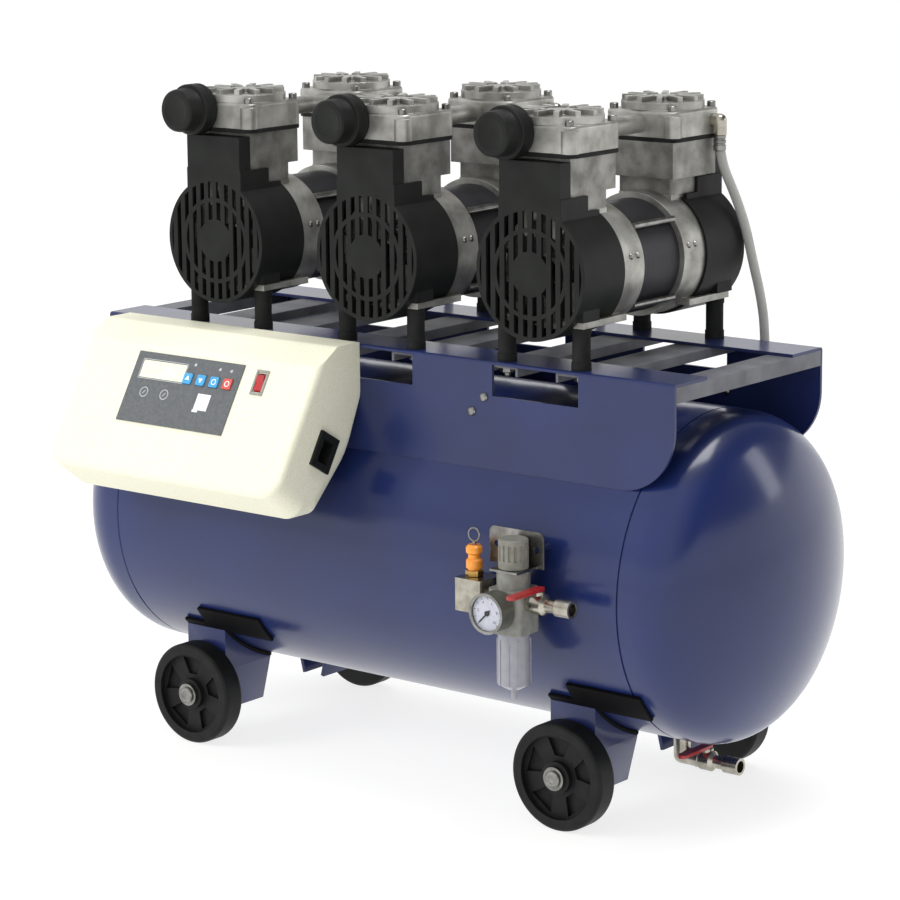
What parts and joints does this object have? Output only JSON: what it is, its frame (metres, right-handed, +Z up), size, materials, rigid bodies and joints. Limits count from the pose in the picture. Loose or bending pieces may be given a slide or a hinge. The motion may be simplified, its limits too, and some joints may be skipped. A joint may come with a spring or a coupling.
{
  "type": "air compressor",
  "caption": "Oil-free air compressor with twin-head piston pumps on a wheeled horizontal tank, a sloped control box, and a regulator with gauge and ball valve.",
  "frame": {"origin": "on the floor under the middle of the whole machine", "axes": "+Z up, +X along the tank towards its drain end, +Y towards the hose side, so the control box faces -Y"},
  "size_m": [0.79, 0.392, 0.65],
  "materials": {
    "tank_paint": "gloss dark blue powder coat",
    "plate_paint": "satin dark blue powder coat",
    "beam_paint": "matt grey",
    "casting": "die-cast, fine grain",
    "plated": "zinc plated",
    "nickel": "nickel-plated",
    "laminate": "black laminated core",
    "black_plastic": "moulded, fine texture",
    "rubber": "matt",
    "tyre": "moulded",
    "fan_plastic": "moulded",
    "braid": "grey braided hose",
    "cream": "fine textured cream coat",
    "overlay": "printed film",
    "board": "circuit board",
    "orange": "orange",
    "red": "red",
    "blue_key": "blue",
    "dial": "white dial in a chrome ring",
    "regulator_grey": "grey",
    "bowl": "clear grey bowl",
    "needle": "black"
  },
  "bodies": {
    "machine": {"tank_barrel": "tank_paint", "tank_heads": "tank_paint", "deck_front_plate": "plate_paint", "deck_rear_plate": "plate_paint", "deck_cross_members": "beam_paint", "wheel_brackets": "plate_paint", "wheel_pads": "rubber", "axle_bolts": "plated", "pump_feet": "rubber", "crankcases": "casting", "stators": "laminate", "stator_tie_rods": "plated", "cylinders": "casting", "head_gaskets": "rubber", "cylinder_heads": "casting", "intake_filters": "black_plastic", "transfer_tubes": "casting", "pump1_shrouds": "black_plastic", "pump2_shrouds": "black_plastic", "pump3_shrouds": "black_plastic", "discharge_hoses": "braid", "pipe_fittings": "nickel", "control_casing": "cream", "control_board": "board", "control_panel": "overlay", "power_inlet": "black_plastic", "outlet_manifold": "nickel", "safety_valve": "orange", "pressure_gauge": "dial", "regulator_body": "regulator_grey", "filter_bowl": "bowl", "regulator_bracket": "plated", "outlet_valve": "nickel", "drain_valve": "nickel"},
    "pump1_crank": {"pump1_shaft": "plated", "pump1_fans": "fan_plastic"},
    "pump1_front_rod": {"pump1_front_piston": "casting"},
    "pump1_rear_rod": {"pump1_rear_piston": "casting"},
    "pump2_crank": {"pump2_shaft": "plated", "pump2_fans": "fan_plastic"},
    "pump2_front_rod": {"pump2_front_piston": "casting"},
    "pump2_rear_rod": {"pump2_rear_piston": "casting"},
    "pump3_crank": {"pump3_shaft": "plated", "pump3_fans": "fan_plastic"},
    "pump3_front_rod": {"pump3_front_piston": "casting"},
    "pump3_rear_rod": {"pump3_rear_piston": "casting"},
    "wheel_front_left_body": {"wheel_front_left": "tyre"},
    "wheel_front_right_body": {"wheel_front_right": "tyre"},
    "wheel_rear_left_body": {"wheel_rear_left": "tyre"},
    "wheel_rear_right_body": {"wheel_rear_right": "tyre"},
    "key_1_cap": {"key_1": "blue_key"},
    "key_2_cap": {"key_2": "blue_key"},
    "key_3_cap": {"key_3": "blue_key"},
    "key_4_cap": {"key_4": "red"},
    "rocker": {"power_rocker": "red"},
    "needle": {"gauge_needle": "needle"},
    "knob": {"regulator_knob": "regulator_grey"},
    "outlet_handle": {"outlet_lever": "red"},
    "drain_handle": {"drain_lever": "red"},
    "pull_ring": {"safety_valve_ring": "plated"}
  },
  "joints": [
    {"name": "pump1_spin", "type": "hinge", "parent": "machine", "child": "pump1_crank", "pos_m": [-0.1886, 0.04349, 0.5018], "axis": [0, 1, 0], "continuous": true},
    {"name": "pump1_front_crank_pin", "type": "hinge", "parent": "pump1_crank", "child": "pump1_front_rod", "pos_m": [-0.1886, -0.03451, 0.5098], "axis": [0, 1, 0], "continuous": true},
    {"name": "pump1_rear_crank_pin", "type": "hinge", "parent": "pump1_crank", "child": "pump1_rear_rod", "pos_m": [-0.1886, 0.12149, 0.4938], "axis": [0, 1, 0], "continuous": true},
    {"name": "pump2_spin", "type": "hinge", "parent": "machine", "child": "pump2_crank", "pos_m": [0, 0.04349, 0.5018], "axis": [0, 1, 0], "continuous": true},
    {"name": "pump2_front_crank_pin", "type": "hinge", "parent": "pump2_crank", "child": "pump2_front_rod", "pos_m": [0, -0.03451, 0.5098], "axis": [0, 1, 0], "continuous": true},
    {"name": "pump2_rear_crank_pin", "type": "hinge", "parent": "pump2_crank", "child": "pump2_rear_rod", "pos_m": [0, 0.12149, 0.4938], "axis": [0, 1, 0], "continuous": true},
    {"name": "pump3_spin", "type": "hinge", "parent": "machine", "child": "pump3_crank", "pos_m": [0.1886, 0.04349, 0.5018], "axis": [0, 1, 0], "continuous": true},
    {"name": "pump3_front_crank_pin", "type": "hinge", "parent": "pump3_crank", "child": "pump3_front_rod", "pos_m": [0.1886, -0.03451, 0.5098], "axis": [0, 1, 0], "continuous": true},
    {"name": "pump3_rear_crank_pin", "type": "hinge", "parent": "pump3_crank", "child": "pump3_rear_rod", "pos_m": [0.1886, 0.12149, 0.4938], "axis": [0, 1, 0], "continuous": true},
    {"name": "wheel_front_left_spin", "type": "hinge", "parent": "machine", "child": "wheel_front_left_body", "pos_m": [-0.2252, -0.08286, 0.05], "axis": [0, 1, 0], "continuous": true},
    {"name": "wheel_front_right_spin", "type": "hinge", "parent": "machine", "child": "wheel_front_right_body", "pos_m": [0.2252, -0.08286, 0.05], "axis": [0, 1, 0], "continuous": true},
    {"name": "wheel_rear_left_spin", "type": "hinge", "parent": "machine", "child": "wheel_rear_left_body", "pos_m": [-0.2252, 0.16984, 0.05], "axis": [0, 1, 0], "continuous": true},
    {"name": "wheel_rear_right_spin", "type": "hinge", "parent": "machine", "child": "wheel_rear_right_body", "pos_m": [0.2252, 0.16984, 0.05], "axis": [0, 1, 0], "continuous": true},
    {"name": "key_1_press", "type": "slide", "parent": "machine", "child": "key_1_cap", "axis": [0, 0.859, -0.512], "range_m": [0, 0.001], "stiffness_N_per_m": 400, "springref_m": -0.0005},
    {"name": "key_2_press", "type": "slide", "parent": "machine", "child": "key_2_cap", "axis": [0, 0.859, -0.512], "range_m": [0, 0.001], "stiffness_N_per_m": 400, "springref_m": -0.0005},
    {"name": "key_3_press", "type": "slide", "parent": "machine", "child": "key_3_cap", "axis": [0, 0.859, -0.512], "range_m": [0, 0.001], "stiffness_N_per_m": 400, "springref_m": -0.0005},
    {"name": "key_4_press", "type": "slide", "parent": "machine", "child": "key_4_cap", "axis": [0, 0.859, -0.512], "range_m": [0, 0.001], "stiffness_N_per_m": 400, "springref_m": -0.0005},
    {"name": "rocker_tip", "type": "hinge", "parent": "machine", "child": "rocker", "pos_m": [-0.0786, -0.13959, 0.38284], "axis": [1, 0, 0], "range_deg": [-16, 0]},
    {"name": "needle_swing", "type": "hinge", "parent": "machine", "child": "needle", "pos_m": [0.2098, -0.17151, 0.2164], "axis": [0, 1, 0], "range_deg": [0, 270], "stiffness_Nm_per_rad": 0.0002},
    {"name": "knob_turn", "type": "hinge", "parent": "machine", "child": "knob", "pos_m": [0.2098, -0.13451, 0.248], "axis": [0, 0, 1], "range_deg": [-360, 360]},
    {"name": "outlet_lever_turn", "type": "hinge", "parent": "machine", "child": "outlet_handle", "pos_m": [0.2383, -0.13451, 0.2335], "axis": [0, 0, 1], "range_deg": [0, 90]},
    {"name": "drain_lever_turn", "type": "hinge", "parent": "machine", "child": "drain_handle", "pos_m": [0.296, 0.04349, 0.058], "axis": [0, 0, 1], "range_deg": [0, 90]},
    {"name": "relief_pull", "type": "slide", "parent": "machine", "child": "pull_ring", "axis": [0, 0, 1], "range_m": [0, 0.002], "stiffness_N_per_m": 1500, "springref_m": -0.0005}
  ],
  "couplings": [
    {"joint": "pump1_front_crank_pin", "follows": "pump1_spin", "ratio": -1},
    {"joint": "pump1_rear_crank_pin", "follows": "pump1_spin", "ratio": -1},
    {"joint": "pump2_front_crank_pin", "follows": "pump2_spin", "ratio": -1},
    {"joint": "pump2_rear_crank_pin", "follows": "pump2_spin", "ratio": -1},
    {"joint": "pump3_front_crank_pin", "follows": "pump3_spin", "ratio": -1},
    {"joint": "pump3_rear_crank_pin", "follows": "pump3_spin", "ratio": -1}
  ]
}
